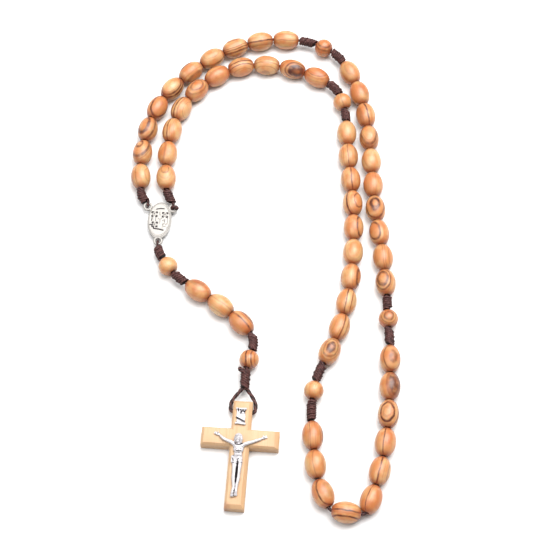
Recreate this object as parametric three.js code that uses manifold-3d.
// A five-decade olive-wood rosary lying on a table, in millimetres, +Z up and the table at z = 0.
// Two cords carry everything: one runs as a doubled loop from the centre medal's left eyelet, through
// five decades of beads, back to its right eyelet; the other joins the medal's lower eyelet to the cross.
// The doubled loop is cut into stretches that fold on each other, each stretch with its own cord.
import * as THREE from "three";
import Module from "manifold-3d";
import { mergeVertices } from "three/addons/utils/BufferGeometryUtils.js";

const wasm = await Module();
wasm.setup();

// Driving dimensions
const CORD_RADIUS = 0.6;
const BORE_RADIUS = 0.95;
const BEAD_END_RADIUS = 1.35;
const OVAL_RADIUS = 3.6;
const OVAL_LENGTH = 9.4;
const ROUND_RADIUS = 3.4;
const KNOT_RADIUS = 1.65;
const KNOT_END_RADIUS = 0.85;
const KNOT_SHOULDER = 1.1;
const CLEARANCE = 0.3;
const KNOT_GAP = 0.55;
const BENT_KNOT_GAP = 0.95;
const LONGEST_LEAD = 0.45;
const AXIS_HEIGHT = OVAL_RADIUS;
const EYELET_HEIGHT = 2.1;

// Worked out from them
const ROUND_LENGTH = 2 * Math.sqrt(ROUND_RADIUS ** 2 - BEAD_END_RADIUS ** 2);

// Facets
const BEAD_SIDES = 8;
const BEAD_STEPS = 5;
const CORD_SIDES = 8;
const LOOP_STEP = 1.2;

const OLIVE_WOOD = new THREE.MeshStandardMaterial({ color: 0xd9985c, roughness: 0.42, metalness: 0 });
const PALE_WOOD = new THREE.MeshStandardMaterial({ color: 0xe6bf85, roughness: 0.6, metalness: 0 });
const BROWN_CORD = new THREE.MeshStandardMaterial({ color: 0x4a2f2f, roughness: 0.8, metalness: 0 });
const OLD_SILVER = new THREE.MeshStandardMaterial({ color: 0xc9c7c2, roughness: 0.35, metalness: 1 });

const rosary = new THREE.Group();

// Routes of the two cords' centrelines, chosen by hand

const LOOP_ROUTE = [
  [-41.2, 21.9, EYELET_HEIGHT], [-43.2, 25.2, 3.0], [-44.3, 28.2], [-45.1, 32.5], [-44.4, 42.5],
  [-43.0, 52.5], [-40.0, 62.0], [-34.5, 70.5], [-27.5, 78.0], [-19.5, 84.3], [-11.0, 89.0], [-1.3, 92.2],
  [8.8, 92.9], [17.2, 91.7], [23.5, 89.0], [29.1, 84.7], [33.4, 77.6], [36.7, 68.3], [38.8, 58.8],
  [40.2, 39.5], [41.0, 20.0], [43.3, 0.0], [44.4, -24.1], [44.5, -42.0], [43.3, -59.3],
  [41.9, -69.3], [39.9, -79.2], [38.2, -84.3], [36.6, -88.8], [34.9, -93.0], [32.6, -93.6],
  [27.7, -92.9], [23.1, -92.2], [22.3, -90.9], [20.6, -86.4], [18.9, -81.7], [17.9, -74.0],
  [17.5, -66.0], [17.2, -57.0], [17.9, -50.4], [20.1, -43.4], [24.1, -36.0], [29.9, -17.9],
  [32.7, 1.5], [33.0, 21.2], [31.8, 40.3], [31.3, 50.4], [31.2, 57.9], [30.2, 64.7], [27.2, 70.9],
  [20.5, 76.1], [10.8, 79.6], [1.1, 81.5], [-8.6, 80.6], [-17.6, 76.5], [-25.2, 69.8],
  [-31.0, 61.7], [-34.0, 51.8], [-35.1, 42.0], [-35.7, 32.0], [-35.1, 27.8], [-34.0, 24.7, 3.0],
  [-32.4, 21.3, EYELET_HEIGHT],
];

const PENDANT_ROUTE = [
  [-37.8, 5.3, EYELET_HEIGHT], [-36.2, 0.9, 3.0], [-33.5, -3.7], [-29.0, -8.5], [-22.4, -13.2],
  [-14.2, -18.8], [-6.9, -25.4], [-3.7, -29.2], [-2.7, -32.9], [-3.4, -36.5], [-4.3, -39.6],
  [-5.1, -43.1], [-5.7, -49.9, 3.2],
];

function curveThrough(points) {
  const vectors = points.map(([x, y, z = AXIS_HEIGHT]) => new THREE.Vector3(x, y, z));
  const curve = new THREE.CatmullRomCurve3(vectors, false, "centripetal");
  curve.arcLengthDivisions = 4000;
  return curve;
}

function pointAt(curve, station) {
  return curve.getPointAt(THREE.MathUtils.clamp(station / curve.getLength(), 0, 1));
}

// Solids

function toSolid(geometry) {
  const bare = geometry.clone();
  bare.deleteAttribute("normal");
  bare.deleteAttribute("uv");
  const merged = mergeVertices(bare, 1e-4);
  return new wasm.Manifold(
    new wasm.Mesh({
      numProp: 3,
      vertProperties: new Float32Array(merged.getAttribute("position").array),
      triVerts: new Uint32Array(merged.index.array),
    }),
  );
}

function toGeometry(solid) {
  const mesh = solid.getMesh();
  const geometry = new THREE.BufferGeometry();
  geometry.setAttribute("position", new THREE.BufferAttribute(new Float32Array(mesh.vertProperties), 3));
  geometry.setIndex(new THREE.BufferAttribute(new Uint32Array(mesh.triVerts), 1));
  geometry.computeVertexNormals();
  return geometry;
}

function joined(geometries, holes = []) {
  const [first, ...rest] = geometries.map(toSolid);
  const body = rest.reduce((whole, piece) => whole.add(piece), first);
  return toGeometry(holes.map(toSolid).reduce((whole, hole) => whole.subtract(hole), body));
}

function addPiece(parent, name, geometry, material) {
  const mesh = new THREE.Mesh(geometry, material);
  mesh.name = name;
  parent.add(mesh);
  return mesh;
}

// A geometry whose length runs along +Y, laid from one point to another.
function laidAlong(geometry, from, to) {
  const direction = to.clone().sub(from).normalize();
  const turn = new THREE.Quaternion().setFromUnitVectors(new THREE.Vector3(0, 1, 0), direction);
  const middle = from.clone().add(to).multiplyScalar(0.5);
  return geometry.clone().applyQuaternion(turn).translate(middle.x, middle.y, middle.z);
}

function ringSection(radius, sides) {
  const corners = Array.from({ length: sides }, (_, i) => {
    const angle = ((i + 0.5) * 2 * Math.PI) / sides;
    return new THREE.Vector2(radius * Math.cos(angle), radius * Math.sin(angle));
  });
  return new THREE.Shape(corners);
}

// A path that an extrusion follows with one step from each point to the next.
class StationPath extends THREE.Curve {
  constructor(points) {
    super();
    this.points = points;
  }

  getPoint(t, target = new THREE.Vector3()) {
    const at = t * (this.points.length - 1);
    const before = THREE.MathUtils.clamp(Math.floor(at), 0, this.points.length - 2);
    return target.lerpVectors(this.points[before], this.points[before + 1], at - before);
  }

  getPointAt(u, target) {
    return this.getPoint(u, target);
  }

  getTangentAt(u, target) {
    return this.getTangent(u, target);
  }
}

function tubeAlong(points, radius) {
  return new THREE.ExtrudeGeometry(ringSection(radius, CORD_SIDES), {
    steps: points.length - 1,
    extrudePath: new StationPath(points),
    bevelEnabled: false,
  });
}

// A turned bead with its bore, its length along Y. The outline is an ellipse cut off at the two ends.
function beadGeometry(radius, length) {
  const half = length / 2;
  const reach = half / Math.sqrt(1 - (BEAD_END_RADIUS / radius) ** 2);
  const profile = [new THREE.Vector2(BORE_RADIUS, -half)];
  for (let i = 0; i <= BEAD_STEPS; i += 1) {
    const along = half * Math.sin((i / BEAD_STEPS - 0.5) * Math.PI);
    profile.push(new THREE.Vector2(radius * Math.sqrt(1 - (along / reach) ** 2), along));
  }
  profile.push(new THREE.Vector2(BORE_RADIUS, half), new THREE.Vector2(BORE_RADIUS, -half));
  return new THREE.LatheGeometry(profile, BEAD_SIDES);
}

// A short sleeve that sits in the wall of two beads and spans the gap between them.
function sleeveGeometry(length) {
  const half = length / 2;
  const [inner, outer] = [BORE_RADIUS + 0.05, BEAD_END_RADIUS - 0.15];
  const profile = [[inner, -half], [outer, -half], [outer, half], [inner, half], [inner, -half]];
  return new THREE.LatheGeometry(profile.map(([r, y]) => new THREE.Vector2(r, y)), BEAD_SIDES);
}

// A barrel knot, rounded off at both ends, its length along Y.
function knotGeometry(length) {
  const half = length / 2;
  const waist = half - KNOT_SHOULDER;
  const profile = [[0, -half], [KNOT_END_RADIUS, -half], [KNOT_RADIUS, -waist]];
  const mirrored = profile.map(([r, y]) => [r, -y]).reverse();
  return new THREE.LatheGeometry(
    [...profile, ...mirrored].map(([r, y]) => new THREE.Vector2(r, y)), BEAD_SIDES);
}

const OVAL = beadGeometry(OVAL_RADIUS, OVAL_LENGTH);
const ROUND = beadGeometry(ROUND_RADIUS, ROUND_LENGTH);

// Chains: where each bead and knot sits on its cord, as a distance along the route

function oval(name, at) {
  return { kind: "oval", name, from: at - OVAL_LENGTH / 2, to: at + OVAL_LENGTH / 2 };
}

function round(name, at) {
  return { kind: "round", name, from: at - ROUND_LENGTH / 2, to: at + ROUND_LENGTH / 2 };
}

function knot(gap = KNOT_GAP) {
  return { kind: "knot", gap };
}

// A knot fills the space between its neighbours, or between a bead and the end of the cord.
function withKnotsPlaced(items, first, last) {
  return items.map((item, i) => {
    if (item.kind !== "knot") return item;
    const from = i === 0 ? first : items[i - 1].to + item.gap;
    const to = i === items.length - 1 ? last : items[i + 1].from - KNOT_GAP;
    return { ...item, from, to };
  });
}

// Ten beads, evenly spaced from the first one's station to the last one's.
function decade(number, first, last) {
  return Array.from({ length: 10 }, (_, i) =>
    oval(`hail_mary_bead_${number}_${i + 1}`, first + (i * (last - first)) / 9));
}

// The third decade lies round the loop's far end, where the cord turns back and shows between beads.
const TURN_STATIONS = [251.0, 261.0, 271.0, 281.1, 291.3, 301.5, 313.0, 324.3, 334.6, 344.7];

function turningDecade(number) {
  return TURN_STATIONS.map((at, i) => oval(`hail_mary_bead_${number}_${i + 1}`, at));
}

const loopCurve = curveThrough(LOOP_ROUTE);
const pendantCurve = curveThrough(PENDANT_ROUTE);
const KNOT_START = 0.9;

const loopItems = withKnotsPlaced(
  [
    knot(), ...decade(1, 11.7, 102.5),
    knot(), round("our_father_bead_1", 117.7), knot(), ...decade(2, 133.1, 222.0),
    knot(), round("our_father_bead_2", 235.9), knot(), ...turningDecade(3),
    knot(), round("our_father_bead_3", 360.9), knot(), ...decade(4, 376.4, 465.0),
    knot(), round("our_father_bead_4", 478.8), knot(), ...decade(5, 494.0, 584.5),
    knot(),
  ],
  KNOT_START,
  loopCurve.getLength() - KNOT_START,
);

const pendantItems = withKnotsPlaced(
  [
    knot(), round("our_father_bead_5", 10.1), knot(),
    oval("hail_mary_bead_6_1", 24.8), oval("hail_mary_bead_6_2", 34.75), oval("hail_mary_bead_6_3", 44.7),
    knot(BENT_KNOT_GAP), round("our_father_bead_6", 60.0), knot(),
  ],
  KNOT_START,
  pendantCurve.getLength(),
);

// Beads that share a node with the next bead, by the number of the first of the two in its decade.
const PAIRED = { 1: [2, 5, 8], 2: [2, 5, 9], 3: [2, 4, 9], 4: [2, 4, 7], 5: [2, 5, 8], 6: [] };

const placeOf = (curve, item) => [pointAt(curve, item.from), pointAt(curve, item.to)];
const shapeOf = (item) => (item.kind === "oval" ? OVAL : ROUND);

// One bead: its own mesh, placed by position and rotation.
function addBead(curve, item) {
  const [from, to] = placeOf(curve, item);
  const bead = addPiece(rosary, item.name, shapeOf(item), OLIVE_WOOD);
  bead.position.copy(from).add(to).multiplyScalar(0.5);
  bead.quaternion.setFromUnitVectors(new THREE.Vector3(0, 1, 0), to.clone().sub(from).normalize());
}

// Two beads with a thin sleeve across the gap between them.
function addPair(curve, first, second) {
  const [fromA, toA] = placeOf(curve, first);
  const [fromB, toB] = placeOf(curve, second);
  const into = toB.clone().sub(fromA).normalize();
  const middle = toA.clone().add(fromB).multiplyScalar(0.5);
  const reach = toA.distanceTo(fromB) / 2 + 0.25;
  const sleeve = laidAlong(
    sleeveGeometry(2 * reach),
    middle.clone().addScaledVector(into, -reach),
    middle.clone().addScaledVector(into, reach),
  );
  const pair = joined([laidAlong(OVAL, fromA, toA), laidAlong(OVAL, fromB, toB), sleeve]);
  const [, , , decadeNumber, firstNumber] = first.name.split("_");
  const name = `hail_mary_beads_${decadeNumber}_${firstNumber}_and_${Number(firstNumber) + 1}`;
  addPiece(rosary, name, pair, OLIVE_WOOD);
}

function addBeads(curve, items) {
  for (let i = 0; i < items.length; i += 1) {
    const item = items[i];
    if (item.kind === "knot") continue;
    const [, , , decadeNumber, number] = item.name.split("_");
    if (item.kind === "oval" && PAIRED[decadeNumber].includes(Number(number))) {
      addPair(curve, item, items[i + 1]);
      i += 1;
    } else {
      addBead(curve, item);
    }
  }
}

// Where the cord bends between two neighbours: midway across a small gap, or leaving one
// and meeting the next in line with each of them across a wide one.
function bendsBetween(curve, before, after) {
  const [fromA, toA] = placeOf(curve, before);
  const [fromB, toB] = placeOf(curve, after);
  const lead = Math.min((after.from - before.to) / 2, LONGEST_LEAD);
  const leaving = toA.clone().addScaledVector(toA.clone().sub(fromA).normalize(), lead);
  const meeting = fromB.clone().addScaledVector(fromB.clone().sub(toB).normalize(), lead);
  if (leaving.distanceTo(meeting) < 2 * LONGEST_LEAD) {
    return [leaving.add(meeting).multiplyScalar(0.5)];
  }
  return [leaving, pointAt(curve, (before.to + after.from) / 2), meeting];
}

// The cord of one stretch, with a barrel at each knot.
function cordParts(curve, items) {
  const bends = items.slice(1).flatMap((item, i) => bendsBetween(curve, items[i], item));
  const ends = [pointAt(curve, items[0].from), pointAt(curve, items.at(-1).to)];
  const knots = items.filter((item) => item.kind === "knot");
  const barrels = knots.map((item) => laidAlong(knotGeometry(item.to - item.from), ...placeOf(curve, item)));
  return [tubeAlong([ends[0], ...bends, ends[1]], CORD_RADIUS), ...barrels];
}

// The stretches of the loop's cord, each named with the index of its last item.
const STRETCHES = [
  ["loop_cord_left_outer", 4],
  ["loop_cord_top_outer", 18],
  ["loop_cord_right_upper_outer", 22],
  ["loop_cord_right_lower_outer", 27],
  ["loop_cord_turn", 41],
  ["loop_cord_right_lower_inner", 45],
  ["loop_cord_right_upper_inner", 49],
  ["loop_cord_top_inner", 60],
  ["loop_cord_left_inner", 64],
];

// Centre medal, in its own frame: an upright oval with three eyelets, its plane at z = 0

const MEDAL = { halfWidth: 4.3, halfLength: 7.35, thickness: 1.5, rim: 0.7, recess: 0.3 };
const MEDAL_PLACE = { x: -37.15, y: 15.3, turn: THREE.MathUtils.degToRad(-3.5) };
const EYELET = { hole: 0.95, outer: 1.65, thickness: 0.85 };
const EYELETS = [[-4.45, 5.0, 1], [4.45, 5.0, 1], [0, -8.7, -1]];
const BAND_OFFSET = (EYELET.hole + EYELET.outer) / 2;
const LOOP_RADIUS = 1.4;

function ellipse(halfWidth, halfLength) {
  return new THREE.Shape().absellipse(0, 0, halfWidth, halfLength, 0, 2 * Math.PI);
}

function plate(shape, thickness, lowest, curveSegments) {
  const geometry = new THREE.ExtrudeGeometry(shape, { depth: thickness, bevelEnabled: false, curveSegments });
  return geometry.translate(0, 0, lowest);
}

function box(width, length, height, x, y, z) {
  return new THREE.BoxGeometry(width, length, height).translate(x, y, z);
}

function medalGeometry() {
  const { halfWidth, halfLength, thickness, rim, recess } = MEDAL;
  const face = thickness / 2;
  const disc = plate(ellipse(halfWidth, halfLength), thickness, -face, 16);
  const well = plate(ellipse(halfWidth - rim, halfLength - rim), recess * 2, face - recess, 16);
  const body = joined([disc], [well]);
  const stem = box(1.1, 8.2, recess + 0.1, 0, 0, face - recess / 2 - 0.05);
  const arm = box(4.6, 1.1, recess + 0.1, 0, 1.2, face - recess / 2 - 0.05);
  const ringShape = ellipse(EYELET.outer, EYELET.outer);
  const rings = EYELETS.map(([x, y]) =>
    plate(ringShape, EYELET.thickness, -EYELET.thickness / 2, 8).translate(x, y, 0));
  const necks = EYELETS.map(([x, y]) =>
    box(1.2, 1.2, EYELET.thickness, x * 0.72, y * 0.86, 0));
  const holes = EYELETS.map(([x, y]) =>
    plate(ellipse(EYELET.hole, EYELET.hole), 2 * thickness, -thickness, 8).translate(x, y, 0));
  return joined([body, stem, arm, ...rings, ...necks], holes);
}

const medalGroup = new THREE.Group();
medalGroup.position.set(MEDAL_PLACE.x, MEDAL_PLACE.y, EYELET_HEIGHT);
medalGroup.rotation.z = MEDAL_PLACE.turn;
rosary.add(medalGroup);
addPiece(medalGroup, "centre_medal", medalGeometry(), OLD_SILVER);

// The small loop of cord round an eyelet's band, standing upright on the line that the band turns on.
function eyeletLoop([x, y, side]) {
  const ring = new THREE.TorusGeometry(LOOP_RADIUS, CORD_RADIUS, CORD_SIDES, 12);
  const place = new THREE.Matrix4()
    .makeRotationZ(MEDAL_PLACE.turn)
    .setPosition(MEDAL_PLACE.x, MEDAL_PLACE.y, EYELET_HEIGHT);
  return ring.rotateY(Math.PI / 2).translate(x, y + side * BAND_OFFSET, 0).applyMatrix4(place);
}

// Cross, in its own frame: the origin where post and bar meet, its back on z = 0

const CROSS = {
  post: 6.6, barTop: 3.4, barBottom: -3.0, span: 26.3, top: 13.3, foot: -24.2, thickness: 4.8, bevel: 1.1,
};
const BEVEL_DEPTH = 1.0;
const CROSS_PLACE = { x: -6.9, y: -67.8, turn: THREE.MathUtils.degToRad(-4.2) };
const CORD_HOLE = { y: 9.7, z: CROSS.thickness / 2, radius: 1.05 };

function crossOutline(inset) {
  const x = CROSS.post / 2 - inset;
  const high = CROSS.barTop - inset;
  const low = CROSS.barBottom + inset;
  const end = CROSS.span / 2 - inset;
  const corners = [
    [x, CROSS.top - inset], [-x, CROSS.top - inset], [-x, high], [-end, high], [-end, low], [-x, low],
    [-x, CROSS.foot + inset], [x, CROSS.foot + inset], [x, low], [end, low], [end, high], [x, high],
  ];
  return new THREE.Shape(corners.map(([px, py]) => new THREE.Vector2(px, py)));
}

function crossGeometry() {
  const body = plate(crossOutline(0), CROSS.thickness - BEVEL_DEPTH, 0);
  const bevelled = new THREE.ExtrudeGeometry(crossOutline(CROSS.bevel), {
    depth: 0.1,
    bevelEnabled: true,
    bevelThickness: BEVEL_DEPTH,
    bevelSize: CROSS.bevel,
    bevelSegments: 1,
  }).translate(0, 0, CROSS.thickness - BEVEL_DEPTH - 0.1);
  const hole = new THREE.CylinderGeometry(CORD_HOLE.radius, CORD_HOLE.radius, 2 * CROSS.post, 12)
    .rotateZ(Math.PI / 2)
    .translate(0, CORD_HOLE.y, CORD_HOLE.z);
  return joined([body, bevelled], [hole]);
}

// The cord's hanging loop: down from the last knot, through the hole from side to side, and back up.
const HANGING_HALF = [
  [0.4, 18.4, 3.3], [1.5, 17.2, 3.1], [3.3, 15.1, 2.9], [4.25, 13.2, 2.6], [4.45, 11.6, 2.4],
  [4.35, 10.5, 2.4], [3.9, 9.85, 2.4], [3.0, 9.7, 2.4], [1.2, 9.7, 2.4],
];

function hangingLoop() {
  const right = HANGING_HALF.map(([x, y, z]) => new THREE.Vector3(x, y, z));
  const left = HANGING_HALF.map(([x, y, z]) => new THREE.Vector3(-x, y, z)).reverse();
  const path = new THREE.CatmullRomCurve3([...right, ...left], false, "centripetal");
  const place = new THREE.Matrix4()
    .makeRotationZ(CROSS_PLACE.turn)
    .setPosition(CROSS_PLACE.x, CROSS_PLACE.y, 0);
  const steps = Math.round(path.getLength() / LOOP_STEP);
  return tubeAlong(path.getSpacedPoints(steps), CORD_RADIUS).applyMatrix4(place);
}

// Corpus and title scroll, in the cross's frame, standing just clear of its front face

const FIGURE_BACK = CROSS.thickness + CLEARANCE;

function limb(from, to, radiusFrom, radiusTo) {
  const start = new THREE.Vector3(...from);
  const end = new THREE.Vector3(...to);
  const cone = new THREE.CylinderGeometry(radiusTo, radiusFrom, start.distanceTo(end), 6);
  return laidAlong(cone, start, end);
}

function ball(radius, x, y, z, stretch = [1, 1, 1]) {
  return new THREE.SphereGeometry(radius, 7, 5).scale(...stretch).translate(x, y, z);
}

function corpusGeometry() {
  const z = FIGURE_BACK + 1.0;
  const arms = [-1, 1].flatMap((side) => [
    limb([side * 1.4, -2.5, z], [side * 4.7, -1.2, z], 0.75, 0.55),
    limb([side * 4.5, -1.3, z], [side * 7.5 + 0.2, 0.4, z - 0.3], 0.55, 0.4),
    ball(0.8, side * 7.8 + 0.2, 0.6, z - 0.35, [1.35, 0.9, 0.55]),
  ]);
  const legs = [-1, 1].flatMap((side) => [
    limb([side * 0.85 - 0.25, -8.2, z], [side * 0.8 - 0.25, -12.8, z + 0.3], 0.95, 0.7),
    limb([side * 0.8 - 0.25, -12.4, z + 0.3], [side * 0.4 - 0.5, -17.5, z - 0.1], 0.7, 0.5),
  ]);
  const pieces = [
    ball(1.6, -0.4, -0.6, z + 0.6, [0.9, 1.1, 0.9]),
    limb([0, -2.8, z], [-0.3, -1.2, z + 0.3], 0.8, 0.7),
    limb([0, -2.3, z], [-0.1, -6.4, z], 1.75, 1.35),
    ball(1.85, -0.3, -7.7, z, [1.05, 0.85, 0.75]),
    ...arms,
    ...legs,
    ball(1.0, -0.6, -18.9, z - 0.1, [1.1, 1.55, 0.8]),
  ];
  const behind = box(30, 60, 10, 0, 0, FIGURE_BACK - 5);
  return joined(pieces, [behind]);
}

const SCROLL = { x: -0.35, y: 7.5, width: 3.4, length: 6.0, thickness: 0.7 };

function scrollGeometry() {
  const { x, y, width, length, thickness } = SCROLL;
  const z = FIGURE_BACK + thickness / 2;
  const sheet = box(width, length * 0.8, thickness, x, y, z);
  const rolls = [-1, 1].map((side) =>
    new THREE.CylinderGeometry(0.45, 0.45, width + 0.5, 8)
      .rotateZ(Math.PI / 2)
      .translate(x, y + side * length * 0.42, FIGURE_BACK + 0.45));
  return joined([sheet, ...rolls]);
}

const crossGroup = new THREE.Group();
crossGroup.position.set(CROSS_PLACE.x, CROSS_PLACE.y, 0);
crossGroup.rotation.z = CROSS_PLACE.turn;
rosary.add(crossGroup);
addPiece(crossGroup, "cross", crossGeometry(), PALE_WOOD);
addPiece(crossGroup, "corpus", corpusGeometry(), OLD_SILVER);
addPiece(crossGroup, "title_scroll", scrollGeometry(), OLD_SILVER);

// Beads and cords

addBeads(loopCurve, loopItems);
addBeads(pendantCurve, pendantItems);

STRETCHES.forEach(([name, last], i) => {
  const first = i === 0 ? 0 : STRETCHES[i - 1][1];
  const parts = cordParts(loopCurve, loopItems.slice(first, last));
  if (i === 0) parts.push(eyeletLoop(EYELETS[0]));
  if (last === loopItems.length) parts.push(eyeletLoop(EYELETS[1]));
  addPiece(rosary, name, joined(parts), BROWN_CORD);
});

const [pendantTop, pendantMiddle, pendantEnd] = [[0, 3], [3, 6], [6, 9]].map(([first, last]) =>
  cordParts(pendantCurve, pendantItems.slice(first, last)));
addPiece(rosary, "pendant_cord_top", joined([...pendantTop, eyeletLoop(EYELETS[2])]), BROWN_CORD);
addPiece(rosary, "pendant_cord_middle", joined(pendantMiddle), BROWN_CORD);
addPiece(rosary, "pendant_cord_end", joined([...pendantEnd, hangingLoop()]), BROWN_CORD);

export default rosary;
